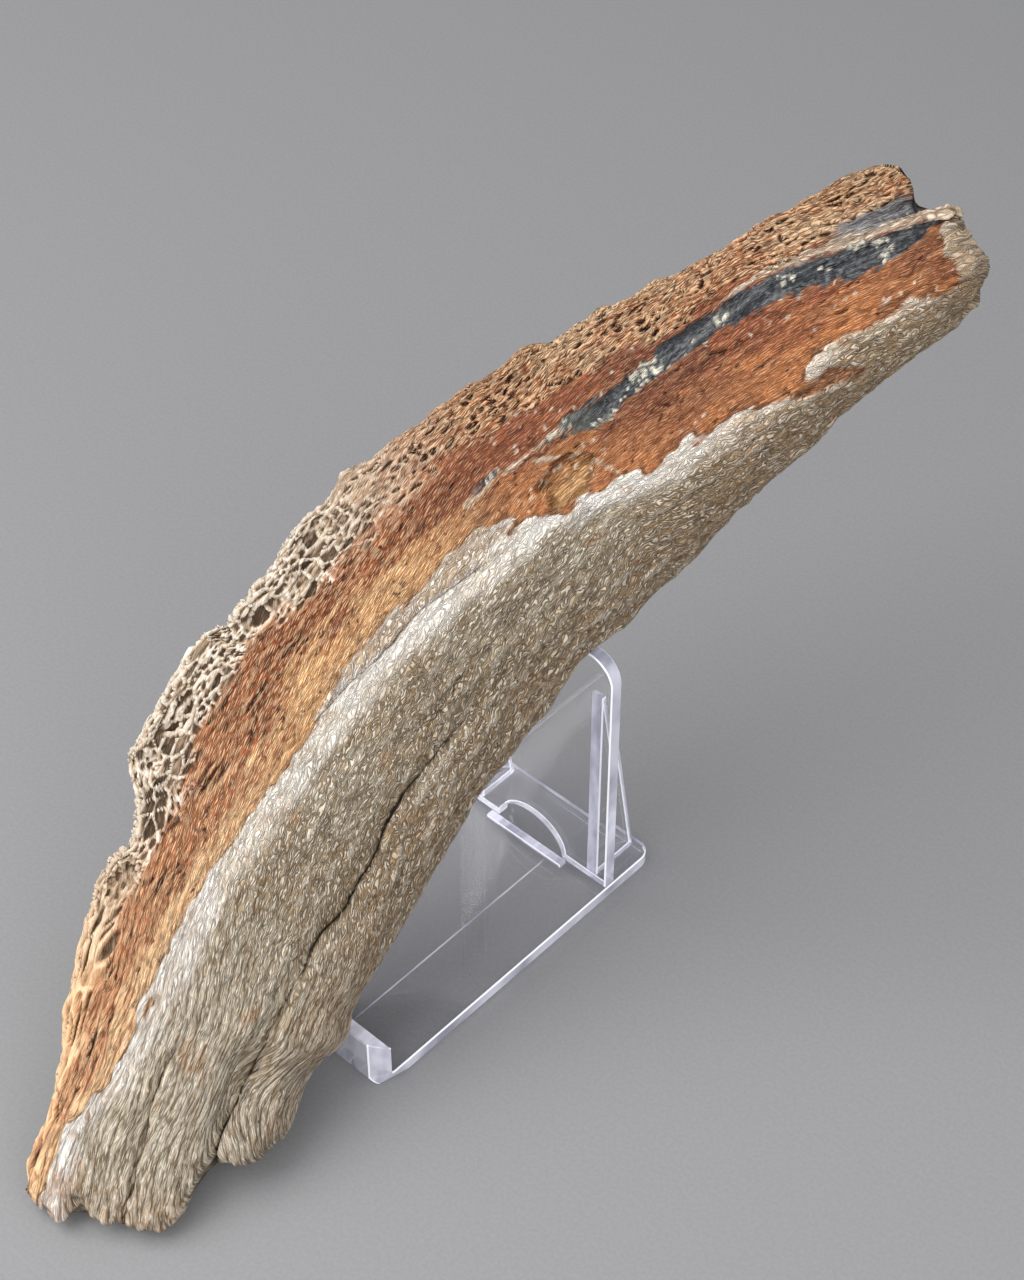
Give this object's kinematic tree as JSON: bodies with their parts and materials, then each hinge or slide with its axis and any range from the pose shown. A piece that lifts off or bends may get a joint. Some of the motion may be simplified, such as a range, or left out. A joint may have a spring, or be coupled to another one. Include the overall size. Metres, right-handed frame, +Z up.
{
  "type": "fossil mammoth leg bone",
  "caption": "Broken slab of fossil limb bone, split along its length with spongy inner bone along one edge, leaning on a clear bent-sheet display stand.",
  "frame": {"origin": "centre of the bounding box's bottom face, on the surface the stand rests on", "axes": "+Z up; +Y from the stand's lipped front to its back, the way the bone rises; +X to the right seen from the front; metres"},
  "size_m": [0.127, 0.274, 0.1996],
  "materials": {
    "fossil_bone": "dry mineralised bone, grey-tan outside, rust orange inside, fibrous and pitted, unpolished",
    "clear_sheet": "clear colourless acrylic sheet, polished faces and edges"
  },
  "bodies": {
    "root": {"bone": "fossil_bone", "stand_base": "clear_sheet", "stand_upright": "clear_sheet", "gusset_left": "clear_sheet", "gusset_right": "clear_sheet"}
  },
  "joints": []
}
